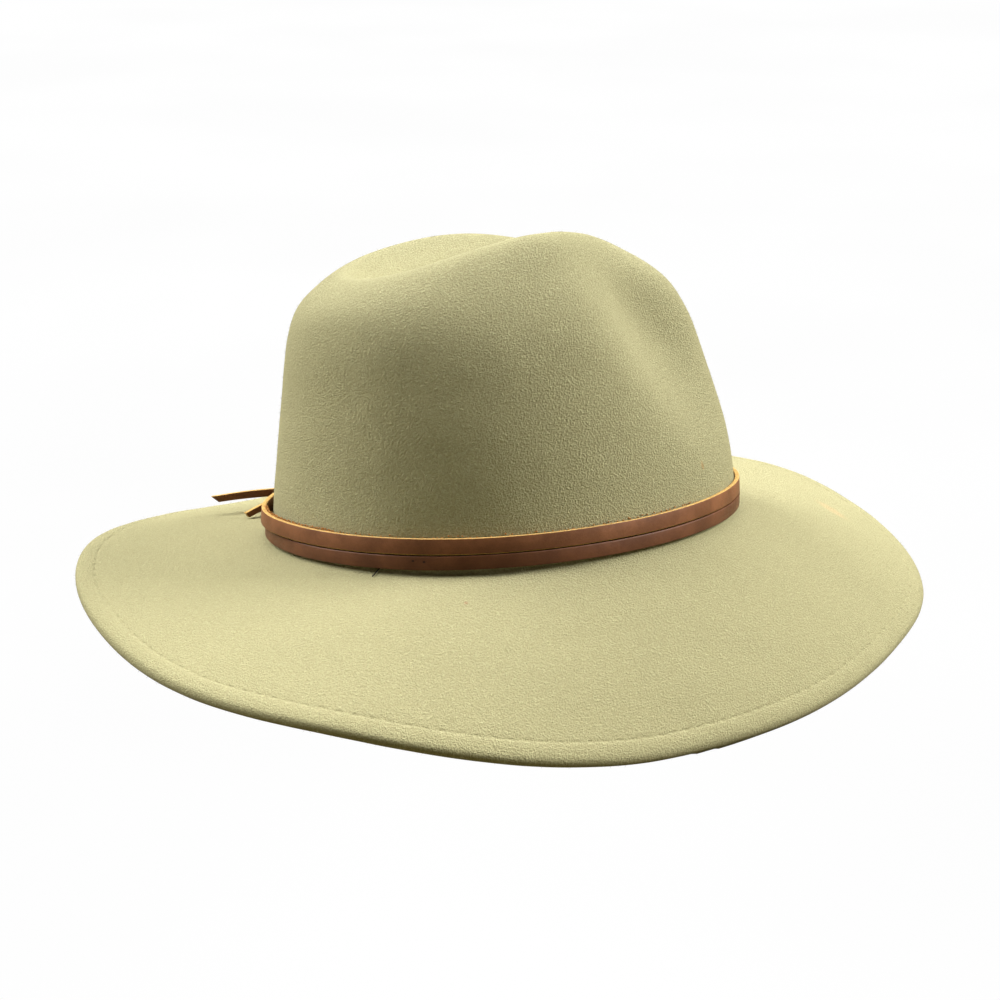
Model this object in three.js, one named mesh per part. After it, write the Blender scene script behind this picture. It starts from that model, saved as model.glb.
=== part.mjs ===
// Wide-brim felt hat: a creased and pinched crown with a thin leather strap tied twice round its foot.
// Millimetres. +Z is up, the front of the hat faces -Y and the wearer's left is +X.
// The hat rests on the edge of its soft brim, so its crown leans a little towards the wearer's left.
import * as THREE from "three";
import { mergeVertices } from "three/addons/utils/BufferGeometryUtils.js";

// Felt
const FELT_THICK = 2.3;
const HEM_RADIUS = 2.6; // half the thickness of the brim edge, where the felt is folded under
const HEM_WIDE = 8.5;
const FOOT_RADIUS = 3; // the turn from the crown wall into the brim
const BRIM_START = 0.6; // slope where the brim leaves the crown, as a share of its mean slope
const SOLE_PRESS = 0.8; // the felt below this height is pressed flat on what the hat rests on
const SETTLE = 2; // how softly the brim edge comes down to rest

// How the crown stands on the brim
const CROWN_AXIS_LEFT = -2.8;
const CROWN_AXIS_BACK = 4.2;
const CROWN_FOOT_HEIGHT = 37.6;
const LEAN_FORWARD_DEG = 1.8;
const LEAN_LEFT_DEG = 8.9;

// Crown: one row for each ring, from the foot up over the rims and down into the crease on top.
// front, back and side are half lengths, the rises are heights over the foot, and taper narrows the front.
const CROWN_RINGS = [
  { front: 100.5, back: 100.5, side: 85.5, riseFront: 0, riseSide: 0, riseBack: 0, taper: 0.1 },
  { front: 101.5, back: 99.3, side: 84, riseFront: 14, riseSide: 14, riseBack: 14, taper: 0.1 },
  { front: 99.1, back: 96.5, side: 81, riseFront: 36.5, riseSide: 38.1, riseBack: 36.1, taper: 0.1 },
  { front: 92.8, back: 93.2, side: 76, riseFront: 59.9, riseSide: 64.6, riseBack: 60.7, taper: 0.1 },
  { front: 84.6, back: 90.1, side: 68.6, riseFront: 83.5, riseSide: 88.6, riseBack: 82.1, taper: 0.12 },
  { front: 72.3, back: 83.9, side: 57.9, riseFront: 100.7, riseSide: 106.4, riseBack: 96.2, taper: 0.15 },
  { front: 48.5, back: 67.6, side: 44.8, riseFront: 115.5, riseSide: 118.7, riseBack: 106.8, taper: 0.2 },
  { front: 43, back: 58, side: 30.5, riseFront: 112.5, riseSide: 114, riseBack: 103, taper: 0.22 },
  { front: 35, back: 48, side: 15, riseFront: 106, riseSide: 106.5, riseBack: 97, taper: 0.24 },
  { front: 32, back: 42, side: 0, riseFront: 101.5, riseSide: 101, riseBack: 94, taper: 0.25 },
];
const FOOT_RING_RISE = 14; // rise from the first ring to the second

// Pinches: a dent on each side of the front, along a line from the top rim down to the front of the wall
const PINCH = {
  topFront: 26,
  topRise: 117,
  footFront: 80,
  footRise: 40,
  middle: 0.42,
  reach: 0.46,
  wide: 21,
  depth: 15.5,
  backward: 0.35,
  noseHalf: 16,
};
// The rim on the wearer's left dips behind its pinch and the other one stands higher, with a soft change
// across the half width of the crease.
const RIM_DIP = { height: -4.6, front: 36, reach: 24, ring: 6.2, rings: 1.6 };
const RIM_LIFT = { height: 4.6, front: -10, reach: 34, ring: 6.1, rings: 1.25 };
const CREASE_HALF = 14;

// Brim edge: reach from the crown's axis and height over its resting height, by bearing from the front
// towards the wearer's left. Below zero the edge is pressed down by the stretch of brim above it.
const BRIM_EDGE = [
  { bearing: 0, reach: 187.9, lift: 1.1 },
  { bearing: 22.5, reach: 188.5, lift: 8.3 },
  { bearing: 45, reach: 178.5, lift: 3 },
  { bearing: 67.5, reach: 168.2, lift: -9 },
  { bearing: 90, reach: 161.9, lift: -10.6 },
  { bearing: 112.5, reach: 161, lift: -1.1 },
  { bearing: 135, reach: 169.4, lift: 11.4 },
  { bearing: 157.5, reach: 176.9, lift: 24.2 },
  { bearing: 180, reach: 179.5, lift: 26.1 },
  { bearing: 202.5, reach: 180.7, lift: 22.6 },
  { bearing: 225, reach: 175.8, lift: 20.3 },
  { bearing: 247.5, reach: 165.4, lift: 8.9 },
  { bearing: 270, reach: 155.1, lift: -1.9 },
  { bearing: 292.5, reach: 155.8, lift: -9.4 },
  { bearing: 315, reach: 162, lift: -9 },
  { bearing: 337.5, reach: 177.6, lift: -9.5 },
];

// Strap: two turns round the foot of the crown, with the knot at the back on the wearer's left
const STRAP_THICK = 2;
const STRAP_BEVEL = 0.4;
const STRAP_GAP = 0.5;
const LOWER_TURN = { bottom: 1.7, top: 7.1, bulge: 0.6 };
const UPPER_TURN = { bottom: 7.5, top: 13.7, bulge: 2.6 };
const BULGE_BEARING = 170; // where the knot pulls the turns off the felt
const BULGE_SPREAD = 20;
const KNOT = { bearing: 130, rise: 7.8, halfLong: 6.2, halfDeep: 3.6, halfTall: 5.6, gap: 0.4 };
// Free ends, from beside the knot to their tips: left and back from the crown's axis, and rise over its foot
const LONG_END = {
  root: { left: 77.4, back: 73.4, rise: 7.8 },
  tip: { left: 91.1, back: 100.8, rise: 5.4 },
  rootWide: 3.6,
  tipWide: 3,
  slant: 3.2,
};
const SHORT_END = {
  root: { left: 72.8, back: 75.9, rise: 5.5 },
  tip: { left: 68.8, back: 93.7, rise: 1.3 },
  rootWide: 3,
  tipWide: 2.6,
  slant: 1.2,
};

// Fineness of the faceted solids
const AROUND = 64;
const END_STEPS = 5;
const CROWN_STATIONS = [9, 8.5, 8, 7.5, 7, 6.6, 6.2, 5.8, 5.4, 5, 4.5, 4, 3.4, 2.8, 2, 1, 0.35];
const FOOT_STATIONS = [1 / 3, 2 / 3, 1];
const BRIM_STATIONS = [0.18, 0.34, 0.5, 0.66];

const radians = THREE.MathUtils.degToRad;

// Smooth curve through four values, between the second and the third.
function smoothBetween(before, from, to, after, share) {
  const cubic = -before + 3 * from - 3 * to + after;
  const square = 2 * before - 5 * from + 4 * to - after;
  return 0.5 * (2 * from + share * (to - before + share * (square + share * cubic)));
}

// A column of the crown's table at a fractional ring number.
function ringColumn(column, ring) {
  const last = CROWN_RINGS.length - 1;
  const index = Math.min(Math.floor(ring), last - 1);
  const value = (i) => CROWN_RINGS[THREE.MathUtils.clamp(i, 0, last)][column];
  return smoothBetween(value(index - 1), value(index), value(index + 1), value(index + 2), ring - index);
}

// A column of the brim edge's table at any bearing, in radians.
function edgeColumn(column, bearing) {
  const count = BRIM_EDGE.length;
  const place = (((bearing / (2 * Math.PI)) % 1) + 1) * count;
  const index = Math.floor(place);
  const value = (i) => BRIM_EDGE[i % count][column];
  return smoothBetween(value(index - 1), value(index), value(index + 1), value(index + 2), place - index);
}

const bell = (x, reach) => Math.exp(-((x / reach) ** 2));

// How far the pinches push the felt inwards at a place on the crown.
function pinchDepth(front, side, rise, ring) {
  const along = new THREE.Vector2(PINCH.footFront - PINCH.topFront, PINCH.footRise - PINCH.topRise);
  const length = along.length();
  along.divideScalar(length);
  const fromTop = new THREE.Vector2(front - PINCH.topFront, rise - PINCH.topRise);
  const share = fromTop.dot(along) / length;
  const across = along.cross(fromTop);
  const fade = 1 - THREE.MathUtils.clamp((ring - 7) / 2, 0, 1);
  const line = bell(share - PINCH.middle, PINCH.reach) * bell(across, PINCH.wide);
  return PINCH.depth * line * Math.tanh(Math.abs(side) / PINCH.noseHalf) * fade;
}

// How far a rim stands over or under the table's height at a place on the crown.
function rimRise(rim, front, ring) {
  return rim.height * bell(front - rim.front, rim.reach) * bell(ring - rim.ring, rim.rings);
}

// A point of the felt's outer surface in the crown's own frame, by bearing and ring number.
function crownPoint(bearing, ring) {
  const c = Math.cos(bearing);
  const s = Math.sin(bearing);
  const column = (name) => ringColumn(name, ring);
  const front = c * (c >= 0 ? column("front") : column("back"));
  const side = column("side") * s * (1 - column("taper") * c);
  const ends = (column("riseFront") + column("riseBack")) / 2;
  const lift = (column("riseFront") - column("riseBack")) / 2;
  const rise = column("riseSide") + (ends - column("riseSide")) * c * c + lift * c;
  const push = pinchDepth(front, side, rise, ring);
  const inward = Math.sign(side) * push * Math.sqrt(1 - PINCH.backward ** 2);
  const pinched = front - push * PINCH.backward;
  const leftness = (1 + Math.tanh(side / CREASE_HALF)) / 2;
  const rims = [rimRise(RIM_LIFT, pinched, ring), rimRise(RIM_DIP, pinched, ring)];
  return new THREE.Vector3(side - inward, -pinched, rise + THREE.MathUtils.lerp(...rims, leftness));
}

// Direction square to the wall's outline in plan, in the crown's own frame.
function wallOutward(bearing) {
  const step = 1e-3;
  const ahead = crownPoint(bearing + step, 0).sub(crownPoint(bearing - step, 0));
  return new THREE.Vector3(ahead.y, -ahead.x, 0).normalize();
}

const crownPose = new THREE.Group();
crownPose.rotation.set(radians(LEAN_FORWARD_DEG), radians(LEAN_LEFT_DEG), 0, "XYZ");
crownPose.position.set(CROWN_AXIS_LEFT, CROWN_AXIS_BACK, CROWN_FOOT_HEIGHT);
crownPose.updateMatrix();
const leaned = (point) => point.applyMatrix4(crownPose.matrix);

// The middle of the round brim edge at a bearing.
function edgeMiddle(bearing) {
  const reach = edgeColumn("reach", bearing);
  const height = HEM_RADIUS + SETTLE * Math.log1p(Math.exp(edgeColumn("lift", bearing) / SETTLE));
  const left = CROWN_AXIS_LEFT + reach * Math.sin(bearing);
  const back = CROWN_AXIS_BACK - reach * Math.cos(bearing);
  return new THREE.Vector3(left, back, height);
}

// One section of the brim: where it starts and ends, and the directions along and square to its edge.
function brimSection(bearing) {
  const start = leaned(crownPoint(bearing, 0));
  const middle = edgeMiddle(bearing);
  const flat = new THREE.Vector3(middle.x - start.x, middle.y - start.y, 0);
  const wide = flat.length();
  flat.normalize();
  const endSlope = Math.atan(((start.z - middle.z) * (2 - BRIM_START)) / wide);
  const along = flat.clone().multiplyScalar(Math.cos(endSlope)).setZ(-Math.sin(endSlope));
  const square = flat.clone().multiplyScalar(Math.sin(endSlope)).setZ(Math.cos(endSlope));
  const end = middle.clone().addScaledVector(square, HEM_RADIUS);
  return { start, middle, end, along, square, wide };
}

// A point of the brim's top, from 0 at the crown to 1 at the edge.
function brimPoint(section, share) {
  const point = section.start.clone().lerp(section.end, share);
  const fall = BRIM_START * share + (1 - BRIM_START) * share * share;
  return point.setZ(THREE.MathUtils.lerp(section.start.z, section.end.z, fall));
}

// The turn from the wall into the brim: a curve between the two, pulled to the corner where they would meet.
function footPoint(bearing, section, share) {
  const wall = leaned(crownPoint(bearing, FOOT_RADIUS / FOOT_RING_RISE));
  const brim = brimPoint(section, FOOT_RADIUS / section.wide);
  const upper = wall.lerp(section.start, share);
  return upper.lerp(section.start.clone().lerp(brim, share), share);
}

// Rows of points over the felt's outer side, from the crease out to the brim's edge.
function outerRows(bearings, sections) {
  const rows = CROWN_STATIONS.map((ring) => bearings.map((b) => leaned(crownPoint(b, ring))));
  rows.push(...FOOT_STATIONS.map((share) => bearings.map((b, k) => footPoint(b, sections[k], share))));
  rows.push(...BRIM_STATIONS.map((share) => sections.map((section) => brimPoint(section, share))));
  const hemSteps = [HEM_WIDE, HEM_WIDE / 2, 0];
  rows.push(...hemSteps.map((back) => sections.map((section) => brimPoint(section, 1 - back / section.wide))));
  return rows;
}

// Directions square to a net of points, with the crease's own line taking the crown's upward direction.
function squareDirections(rows) {
  const up = new THREE.Vector3(0, 0, 1).applyEuler(crownPose.rotation);
  const count = rows[0].length;
  return rows.map((row, r) =>
    row.map((point, k) => {
      if (r === 0) return up.clone();
      const outward = rows[Math.min(r + 1, rows.length - 1)][k].clone().sub(rows[r - 1][k]);
      const round = row[(k + 1) % count].clone().sub(row[(k + count - 1) % count]);
      return outward.cross(round).normalize();
    }),
  );
}

// A closed body from rows of points, where each row goes once round and both end rows close on themselves.
function bodyFromRows(rows) {
  const count = rows[0].length;
  const position = rows.flat().flatMap((p) => [p.x, p.y, p.z]);
  const index = [];
  for (let r = 0; r + 1 < rows.length; r += 1) {
    for (let k = 0; k < count; k += 1) {
      const next = (k + 1) % count;
      const [a, b, c, d] = [r * count + k, (r + 1) * count + k, (r + 1) * count + next, r * count + next];
      index.push(a, b, c, a, c, d);
    }
  }
  return closedBody(position, index);
}

// A geometry with shared corners merged and flattened triangles dropped.
function closedBody(position, index) {
  const loose = new THREE.BufferGeometry();
  loose.setAttribute("position", new THREE.Float32BufferAttribute(position, 3));
  loose.setIndex(index);
  const merged = mergeVertices(loose, 1e-3);
  const kept = [];
  for (let i = 0; i < merged.index.count; i += 3) {
    const [a, b, c] = [0, 1, 2].map((j) => merged.index.getX(i + j));
    if (a !== b && b !== c && c !== a) kept.push(a, b, c);
  }
  merged.setIndex(kept);
  merged.computeVertexNormals();
  return merged;
}

// Crown and brim in one piece of felt, open below, with the brim's edge folded under.
function feltGeometry() {
  const bearings = Array.from({ length: AROUND }, (_, k) => (2 * Math.PI * k) / AROUND);
  const sections = bearings.map(brimSection);
  const outer = outerRows(bearings, sections);
  const square = squareDirections(outer);
  const below = (r, thick) => outer[r].map((p, k) => p.clone().addScaledVector(square[r][k], -thick));
  const edge = [45, 0, -45, -90].map((degrees) =>
    sections.map(({ middle, along, square: up }) =>
      middle
        .clone()
        .addScaledVector(along, HEM_RADIUS * Math.cos(radians(degrees)))
        .addScaledVector(up, HEM_RADIUS * Math.sin(radians(degrees))),
    ),
  );
  const last = outer.length - 1;
  const hem = [last - 1, last - 2].map((r) => below(r, 2 * HEM_RADIUS));
  const inner = [];
  for (let r = last - 2; r >= 0; r -= 1) inner.push(below(r, FELT_THICK));
  const rows = [...outer, ...edge, ...hem, ...inner];
  rows.flat().forEach((p) => p.setZ(p.z < SOLE_PRESS ? 0 : p.z));
  return bodyFromRows(rows);
}

// How far a turn of the strap stands off the felt at a bearing.
function strapGap(turn, bearing) {
  const ahead = bearing - radians(BULGE_BEARING) + Math.PI;
  const away = THREE.MathUtils.euclideanModulo(ahead, 2 * Math.PI) - Math.PI;
  return STRAP_GAP + turn.bulge * bell(away, radians(BULGE_SPREAD));
}

// One turn of the strap, a flat ring with its outer corners bevelled.
function turnGeometry(turn) {
  const outerFace = STRAP_THICK;
  const corners = [
    [0, turn.bottom],
    [outerFace - STRAP_BEVEL, turn.bottom],
    [outerFace, turn.bottom + STRAP_BEVEL],
    [outerFace, turn.top - STRAP_BEVEL],
    [outerFace - STRAP_BEVEL, turn.top],
    [0, turn.top],
  ];
  const bearings = Array.from({ length: AROUND }, (_, k) => (2 * Math.PI * k) / AROUND);
  const rows = [...corners, corners[0]].map(([out, rise]) =>
    bearings.map((bearing) =>
      crownPoint(bearing, rise / FOOT_RING_RISE)
        .addScaledVector(wallOutward(bearing), strapGap(turn, bearing) + out)
        .setZ(rise),
    ),
  );
  return bodyFromRows(rows.reverse());
}

// The knot, a plain rounded lump over both turns.
function knotGeometry() {
  const lump = new THREE.SphereGeometry(1, 14, 10);
  lump.deleteAttribute("normal");
  lump.deleteAttribute("uv");
  lump.rotateX(Math.PI / 2);
  lump.scale(KNOT.halfLong, KNOT.halfDeep, KNOT.halfTall);
  return mergeVertices(lump, 1e-3);
}

// A free end of the strap: a short flat bar that narrows to a tip cut aslant.
function endGeometry({ root, tip, rootWide, tipWide, slant }) {
  const from = new THREE.Vector3(root.left, root.back, root.rise);
  const to = new THREE.Vector3(tip.left, tip.back, tip.rise);
  const along = to.clone().sub(from).normalize();
  const outward = new THREE.Vector3(along.y, -along.x, 0).normalize();
  const up = outward.clone().cross(along).normalize();
  const rows = [];
  for (let i = 0; i <= END_STEPS; i += 1) {
    const share = i / END_STEPS;
    const half = THREE.MathUtils.lerp(rootWide, tipWide, share) / 2;
    const cut = i === END_STEPS ? slant / 2 : 0;
    const corner = (side, top) =>
      from
        .clone()
        .lerp(to, share)
        .addScaledVector(outward, (side * STRAP_THICK) / 2)
        .addScaledVector(up, top * half)
        .addScaledVector(along, top * cut);
    rows.push([corner(1, 1), corner(-1, 1), corner(-1, -1), corner(1, -1)]);
  }
  const position = rows.flat().flatMap((p) => [p.x, p.y, p.z]);
  const index = [0, 1, 2, 0, 2, 3];
  for (let i = 0; i < END_STEPS; i += 1) {
    for (let k = 0; k < 4; k += 1) {
      const next = (k + 1) % 4;
      const [a, b, c, d] = [4 * i + k, 4 * i + 4 + k, 4 * i + 4 + next, 4 * i + next];
      index.push(a, b, c, a, c, d);
    }
  }
  const end = 4 * END_STEPS;
  index.push(end, end + 2, end + 1, end, end + 3, end + 2);
  return closedBody(position, index);
}

const felt = new THREE.MeshStandardMaterial({ color: 0xcdc797, roughness: 0.95, metalness: 0 });
const leather = new THREE.MeshStandardMaterial({ color: 0x5a3722, roughness: 0.55, metalness: 0 });

function namedMesh(name, geometry, material) {
  const mesh = new THREE.Mesh(geometry, material);
  mesh.name = name;
  return mesh;
}

function placedKnot() {
  const bearing = radians(KNOT.bearing);
  const outward = wallOutward(bearing);
  const off = strapGap(UPPER_TURN, bearing) + STRAP_THICK + KNOT.gap + KNOT.halfDeep;
  const knot = namedMesh("strap_knot", knotGeometry(), leather);
  knot.position.copy(crownPoint(bearing, 0.5).addScaledVector(outward, off).setZ(KNOT.rise));
  knot.rotation.z = Math.atan2(outward.y, outward.x) + Math.PI / 2;
  return knot;
}

const hat = new THREE.Group();
hat.add(namedMesh("felt_body", feltGeometry(), felt));
crownPose.add(namedMesh("strap_lower_turn", turnGeometry(LOWER_TURN), leather));
crownPose.add(namedMesh("strap_upper_turn", turnGeometry(UPPER_TURN), leather));
crownPose.add(placedKnot());
crownPose.add(namedMesh("strap_end_long", endGeometry(LONG_END), leather));
crownPose.add(namedMesh("strap_end_short", endGeometry(SHORT_END), leather));
hat.add(crownPose);

export default hat;
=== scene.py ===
"""Wide-brim felt hat with a double leather strap, dressed for a plain studio picture.

The felt is rebuilt finely from the same named sizes as the solids. The strap, its knot and its two
free ends are rebuilt in leather with cut edges, and the hem gets its row of stitches.
"""

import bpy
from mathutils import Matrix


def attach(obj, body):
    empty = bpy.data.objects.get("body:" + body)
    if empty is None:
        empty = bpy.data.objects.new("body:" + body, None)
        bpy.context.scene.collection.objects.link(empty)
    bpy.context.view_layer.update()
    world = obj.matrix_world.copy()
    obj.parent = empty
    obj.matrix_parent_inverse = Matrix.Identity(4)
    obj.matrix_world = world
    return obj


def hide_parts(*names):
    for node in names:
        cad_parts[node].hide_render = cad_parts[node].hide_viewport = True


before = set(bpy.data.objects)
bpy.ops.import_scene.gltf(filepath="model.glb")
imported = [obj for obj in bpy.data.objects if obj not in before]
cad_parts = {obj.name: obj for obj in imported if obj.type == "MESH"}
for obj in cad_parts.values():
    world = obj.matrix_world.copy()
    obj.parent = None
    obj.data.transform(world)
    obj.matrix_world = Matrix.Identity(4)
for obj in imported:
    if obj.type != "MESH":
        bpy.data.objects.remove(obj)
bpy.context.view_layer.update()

import logging
import math
from dataclasses import dataclass, fields
from enum import Enum
from typing import Any, Sequence

import bmesh
import bpy
import numpy as np
from mathutils import Matrix, Vector, noise

LOG = logging.getLogger("hat")
MM = 0.001
TURN = 2 * math.pi
UP = np.array([0.0, 0, 1])
Array = np.ndarray
Material = bpy.types.Material
Mesh = bpy.types.Mesh
Node = bpy.types.Node
Socket = bpy.types.NodeSocket
Tree = bpy.types.NodeTree
Triple = tuple[float, float, float]


class Slot(Enum):
    """Material slots of the record."""

    FELT = "felt"
    STRAP = "strap_leather"


@dataclass(frozen=True)
class CrownRing:
    """One ring of the crown: half lengths, heights over the foot and narrowing of the front, in mm."""

    front: float
    back: float
    side: float
    rise_front: float
    rise_side: float
    rise_back: float
    taper: float


@dataclass(frozen=True)
class EdgePoint:
    """Reach of the brim edge from the crown's axis and its height over rest, in mm, at a bearing."""

    bearing: float
    reach: float
    lift: float


@dataclass(frozen=True)
class Pinch:
    """Dent on each side of the front, along a line from the top rim down to the front of the wall."""

    top_front: float = 26
    top_rise: float = 117
    foot_front: float = 80
    foot_rise: float = 40
    middle: float = 0.42
    reach: float = 0.46
    wide: float = 21
    depth: float = 15.5
    backward: float = 0.35
    nose_half: float = 16
    fade_ring: float = 7
    fade_rings: float = 2


@dataclass(frozen=True)
class RimDip:
    """Dip of the left rim behind its pinch."""

    depth: float = 4.6
    front: float = 36
    reach: float = 24
    ring: float = 6.2
    rings: float = 1.6


@dataclass(frozen=True)
class RimLift:
    """How the right rim stands higher than the left one."""

    height: float = 4.6
    front: float = -10
    reach: float = 34
    ring: float = 6.1
    rings: float = 1.25
    half: float = 14


# Columns as in CrownRing, from the foot up and in to the crease.
CROWN_RINGS = (
    CrownRing(100.5, 100.5, 85.5, 0, 0, 0, 0.1),
    CrownRing(101.5, 99.3, 84, 14, 14, 14, 0.1),
    CrownRing(99.1, 96.5, 81, 36.5, 38.1, 36.1, 0.1),
    CrownRing(92.8, 93.2, 76, 59.9, 64.6, 60.7, 0.1),
    CrownRing(84.6, 90.1, 68.6, 83.5, 88.6, 82.1, 0.12),
    CrownRing(72.3, 83.9, 57.9, 100.7, 106.4, 96.2, 0.15),
    CrownRing(48.5, 67.6, 44.8, 115.5, 118.7, 106.8, 0.2),
    CrownRing(43, 58, 30.5, 112.5, 114, 103, 0.22),
    CrownRing(35, 48, 15, 106, 106.5, 97, 0.24),
    CrownRing(32, 42, 0, 101.5, 101, 94, 0.25),
)

# Columns as in EdgePoint, evenly spaced from the front towards the wearer's left.
BRIM_EDGE = (
    EdgePoint(0, 187.9, 1.1),
    EdgePoint(22.5, 188.5, 8.3),
    EdgePoint(45, 178.5, 3),
    EdgePoint(67.5, 168.2, -9),
    EdgePoint(90, 161.9, -10.6),
    EdgePoint(112.5, 161, -1.1),
    EdgePoint(135, 169.4, 11.4),
    EdgePoint(157.5, 176.9, 24.2),
    EdgePoint(180, 179.5, 26.1),
    EdgePoint(202.5, 180.7, 22.6),
    EdgePoint(225, 175.8, 20.3),
    EdgePoint(247.5, 165.4, 8.9),
    EdgePoint(270, 155.1, -1.9),
    EdgePoint(292.5, 155.8, -9.4),
    EdgePoint(315, 162, -9),
    EdgePoint(337.5, 177.6, -9.5),
)


def column(table: Sequence[Any], name: str) -> Array:
    """One named column of a table."""
    return np.array([getattr(row, name) for row in table], float)


def through(values: Array, place: Array, loop: bool = False) -> Array:
    """Smooth curve through a row of numbers or points.

    Args:
        values: The row.
        place: Fractional numbers in the row, from 0.
        loop: Whether the row closes on itself.

    Returns:
        The value of the curve at each place.
    """
    last = len(values) - 1
    index = np.floor(place).astype(int)
    if not loop:
        index = np.minimum(index, last - 1)
    steps = [index + step for step in (-1, 0, 1, 2)]
    near = [step % len(values) if loop else np.clip(step, 0, last) for step in steps]
    before, start, end, after = (values[step] for step in near)
    share = (place - index).reshape(index.shape + (1,) * (values.ndim - 1))
    cubic = -before + 3 * start - 3 * end + after
    square = 2 * before - 5 * start + 4 * end - after
    return 0.5 * (2 * start + share * (end - before + share * (square + share * cubic)))


def round_angles(count: int) -> Array:
    """Angles spaced evenly once round."""
    return np.arange(count) * TURN / count


def bell(x: Array, reach: float) -> Array:
    """Bell curve of height one."""
    return np.exp(-((x / reach) ** 2))


def unit(vectors: Array) -> Array:
    """Vectors scaled to length one, along the last axis."""
    return vectors / np.maximum(np.linalg.norm(vectors, axis=-1, keepdims=True), 1e-12)


@dataclass(frozen=True)
class BrimSection:
    """Sections of the brim at many bearings: start, edge and directions along and square to the edge."""

    start: Array
    middle: Array
    end: Array
    along: Array
    square: Array
    wide: Array
    slope: Array


@dataclass(frozen=True)
class HatForm:
    """The felt's form, in mm: +Z up, the front towards -Y and the wearer's left towards +X."""

    felt_thick: float = 2.3
    hem_radius: float = 2.6
    foot_radius: float = 3
    brim_start: float = 0.6
    sole_press: float = 0.8
    settle: float = 2
    axis_left: float = -2.8
    axis_back: float = 4.2
    foot_height: float = 37.6
    lean_forward_deg: float = 1.8
    lean_left_deg: float = 8.9
    foot_ring_rise: float = 14
    pinch: Pinch = Pinch()
    rim_dip: RimDip = RimDip()
    rim_lift: RimLift = RimLift()

    def pinch_depth(self, front: Array, side: Array, rise: Array, ring: Array) -> Array:
        """How far the pinches push the felt inwards at places on the crown.

        Args:
            front: How far forward each place is.
            side: How far to the wearer's left.
            rise: How far over the foot.
            ring: The ring number.

        Returns:
            The push at each place.
        """
        dent = self.pinch
        along = np.array([dent.foot_front - dent.top_front, dent.foot_rise - dent.top_rise])
        length = np.linalg.norm(along)
        along = along / length
        x, y = front - dent.top_front, rise - dent.top_rise
        share = (x * along[0] + y * along[1]) / length
        across = along[0] * y - along[1] * x
        fade = 1 - np.clip((ring - dent.fade_ring) / dent.fade_rings, 0, 1)
        line = bell(share - dent.middle, dent.reach) * bell(across, dent.wide)
        return dent.depth * line * np.tanh(np.abs(side) / dent.nose_half) * fade

    def crown_point(self, bearing: Array, ring: Array) -> Array:
        """Points of the felt's outer surface in the crown's own frame.

        Args:
            bearing: Bearings from the front towards the wearer's left, in radians.
            ring: Ring numbers, of a shape that goes with the bearings.

        Returns:
            Points, with the last axis holding x, y and z.
        """
        bearing, ring = np.broadcast_arrays(np.asarray(bearing, float), np.asarray(ring, float))
        c, s = np.cos(bearing), np.sin(bearing)
        at = CrownRing(*(through(column(CROWN_RINGS, f.name), ring) for f in fields(CrownRing)))
        front = c * np.where(c >= 0, at.front, at.back)
        side = at.side * s * (1 - at.taper * c)
        ends = (at.rise_front + at.rise_back) / 2
        tilt = (at.rise_front - at.rise_back) / 2
        rise = at.rise_side + (ends - at.rise_side) * c * c + tilt * c
        push = self.pinch_depth(front, side, rise, ring)
        inward = np.sign(side) * push * math.sqrt(1 - self.pinch.backward**2)
        pinched = front - push * self.pinch.backward
        dip, lift = self.rim_dip, self.rim_lift
        leftness = (1 + np.tanh(side / lift.half)) / 2
        drop = dip.depth * bell(pinched - dip.front, dip.reach) * bell(ring - dip.ring, dip.rings)
        gain = lift.height * bell(pinched - lift.front, lift.reach) * bell(ring - lift.ring, lift.rings)
        rise = rise - drop * leftness + gain * (1 - leftness)
        return np.stack([side - inward, -pinched, rise], axis=-1)

    def wall_outward(self, bearing: Array, step: float = 1e-3) -> Array:
        """Directions square to the wall's outline in plan, in the crown's own frame."""
        ahead = self.crown_point(bearing + step, 0) - self.crown_point(bearing - step, 0)
        return unit(np.stack([ahead[..., 1], -ahead[..., 0], np.zeros_like(ahead[..., 0])], axis=-1))

    @property
    def lean(self) -> Array:
        """The crown's turning, as a 3 by 3 matrix."""
        forward = Matrix.Rotation(math.radians(self.lean_forward_deg), 3, "X")
        return np.array(forward @ Matrix.Rotation(math.radians(self.lean_left_deg), 3, "Y"))

    def leaned(self, points: Array) -> Array:
        """Points of the crown's own frame, where they stand in the row's frame."""
        return points @ self.lean.T + np.array([self.axis_left, self.axis_back, self.foot_height])

    def sections(self, bearing: Array) -> BrimSection:
        """Sections of the brim.

        Args:
            bearing: Bearings in radians.

        Returns:
            One section at each bearing.
        """
        start = self.leaned(self.crown_point(bearing, 0))
        place = (bearing / TURN % 1) * len(BRIM_EDGE)
        reach, lift = (through(column(BRIM_EDGE, name), place, loop=True) for name in ("reach", "lift"))
        height = self.hem_radius + self.settle * np.log1p(np.exp(lift / self.settle))
        left = self.axis_left + reach * np.sin(bearing)
        back = self.axis_back - reach * np.cos(bearing)
        middle = np.stack([left, back, height], axis=-1)
        flat = (middle - start) * np.array([1, 1, 0])
        wide = np.linalg.norm(flat, axis=-1)
        flat = unit(flat)
        slope = np.arctan((start[..., 2] - middle[..., 2]) * (2 - self.brim_start) / wide)
        along = flat * np.cos(slope)[..., None] - UP * np.sin(slope)[..., None]
        square = flat * np.sin(slope)[..., None] + UP * np.cos(slope)[..., None]
        return BrimSection(start, middle, middle + square * self.hem_radius, along, square, wide, slope)

    def brim_point(self, section: BrimSection, share: Array) -> Array:
        """Points of the brim's top.

        Args:
            section: Sections of the brim.
            share: Place from 0 at the crown to 1 at the edge.

        Returns:
            One point on each section.
        """
        share = np.broadcast_to(share, section.wide.shape)
        point = section.start + (section.end - section.start) * share[..., None]
        fall = self.brim_start * share + (1 - self.brim_start) * share**2
        point[..., 2] = section.start[..., 2] + (section.end[..., 2] - section.start[..., 2]) * fall
        return point

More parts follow.
